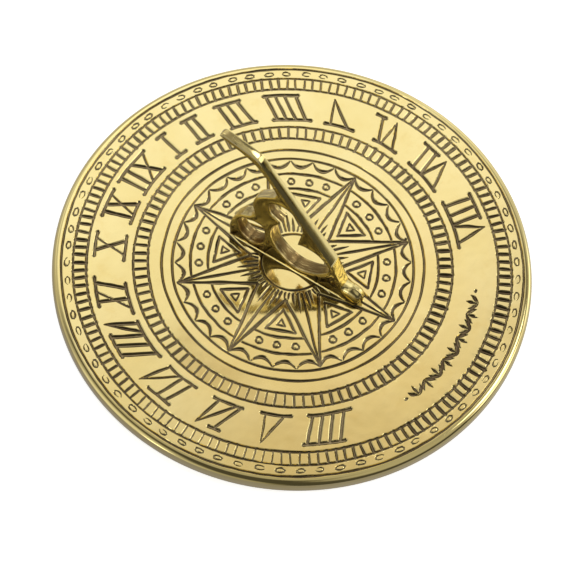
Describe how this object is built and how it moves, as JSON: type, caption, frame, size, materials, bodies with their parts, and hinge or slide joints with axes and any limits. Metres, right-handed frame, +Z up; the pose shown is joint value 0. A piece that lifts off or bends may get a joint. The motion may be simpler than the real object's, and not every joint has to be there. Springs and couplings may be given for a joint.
{
  "type": "garden sundial",
  "caption": "Round cast brass garden sundial with an engraved face, Roman hour numerals, a compass star and an openwork gnomon screwed on from beneath.",
  "frame": {"origin": "centre of the dial's round underside, on the plane it rests on", "axes": "+Z up out of the engraved face; +Y along the noon line from the dial's centre towards the numeral XII and the gnomon's high end; +X to the right of it seen from above"},
  "size_m": [0.254, 0.254, 0.0969],
  "materials": {
    "dial_brass": "polished casting, dark brown patina in the engraving",
    "gnomon_brass": "polished casting, slightly darker in the openings",
    "screw_brass": "turned, slightly dull"
  },
  "bodies": {
    "root": {"dial_plate": "dial_brass", "gnomon": "gnomon_brass", "gnomon_screw_front": "screw_brass", "gnomon_screw_rear": "screw_brass", "gnomon_washer_front": "screw_brass", "gnomon_washer_rear": "screw_brass"}
  },
  "joints": []
}
